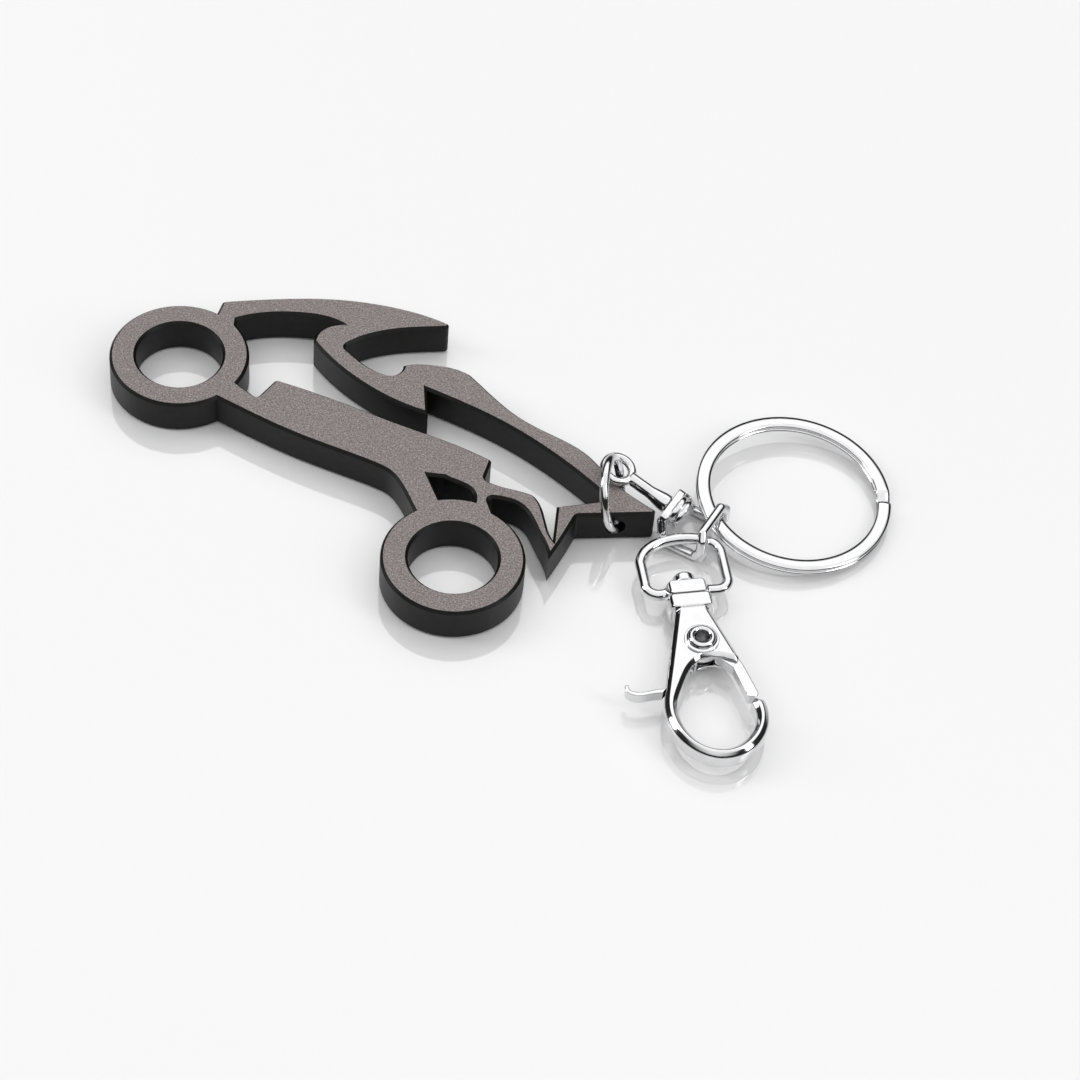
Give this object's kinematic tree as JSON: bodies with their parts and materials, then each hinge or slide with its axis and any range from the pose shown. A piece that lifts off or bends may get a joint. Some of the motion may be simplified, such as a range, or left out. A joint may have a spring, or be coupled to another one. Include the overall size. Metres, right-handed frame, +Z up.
{
  "type": "keychain bottle opener",
  "caption": "Flat metal bottle opener cut in a motorcycle outline, linked by a swivel to a split key ring and a sprung snap clasp.",
  "frame": {"origin": "on the table the object lies on, under the middle of its bounding box", "axes": "+Z up from the table, +X from the plate's rear wheel side towards the key hardware, +Y towards the plate's fairing"},
  "size_m": [0.1133, 0.0758, 0.0122],
  "materials": {
    "anodised_plate": "fine satin taupe-grey faces with near-black satin edges and side walls",
    "chrome_hardware": "bright plated, lightly scuffed die casting",
    "chrome_ring": "bright polished flat wire",
    "spring_steel": "plain drawn wire"
  },
  "bodies": {
    "plate": {"opener_plate": "anodised_plate"},
    "link_ring": {"link_ring": "chrome_hardware"},
    "swivel_eye": {"swivel_eye": "chrome_hardware"},
    "swivel_loop": {"swivel_loop": "chrome_hardware"},
    "split_ring": {"split_ring": "chrome_ring"},
    "clasp_loop": {"clasp_loop": "chrome_hardware"},
    "clasp": {"clasp_body": "chrome_hardware", "clasp_rivet": "chrome_hardware", "clasp_spring": "spring_steel"},
    "lever": {"clasp_lever": "chrome_hardware"}
  },
  "joints": [
    {"name": "link_ring_swing", "type": "hinge", "parent": "plate", "child": "link_ring", "pos_m": [0.01801, 0.00401, 0.0027], "axis": [0.1045, 0.9945, 0], "range_deg": [-3, 60]},
    {"name": "eye_swing", "type": "hinge", "parent": "link_ring", "child": "swivel_eye", "pos_m": [0.01755, 0.00891, 0.00634], "axis": [-0.2451, 0.1309, 0.9606], "range_deg": [0, 35]},
    {"name": "swivel_turn", "type": "hinge", "parent": "swivel_eye", "child": "swivel_loop", "pos_m": [0.02486, 0.00536, 0.004], "axis": [0.866, -0.4069, -0.2906], "continuous": true},
    {"name": "split_ring_slide_round", "type": "hinge", "parent": "swivel_loop", "child": "split_ring", "pos_m": [0.04261, 0.01121, 0.00225], "axis": [0.0698, -0.0299, 0.9971], "continuous": true},
    {"name": "clasp_loop_swing", "type": "hinge", "parent": "swivel_loop", "child": "clasp_loop", "pos_m": [0.02736, 0.0004, 0.0029], "axis": [0.9703, 0.2419, 0], "range_deg": [-25, 60]},
    {"name": "clasp_spin", "type": "hinge", "parent": "clasp_loop", "child": "clasp", "pos_m": [0.03056, -0.01864, 0.0029], "axis": [-0.2419, 0.9703, 0], "continuous": true},
    {"name": "lever_press", "type": "hinge", "parent": "clasp", "child": "lever", "pos_m": [0.03056, -0.01864, 0.0029], "axis": [0, 0, 1], "range_deg": [-25, 0], "stiffness_Nm_per_rad": 0.05, "springref_deg": 11.46}
  ]
}
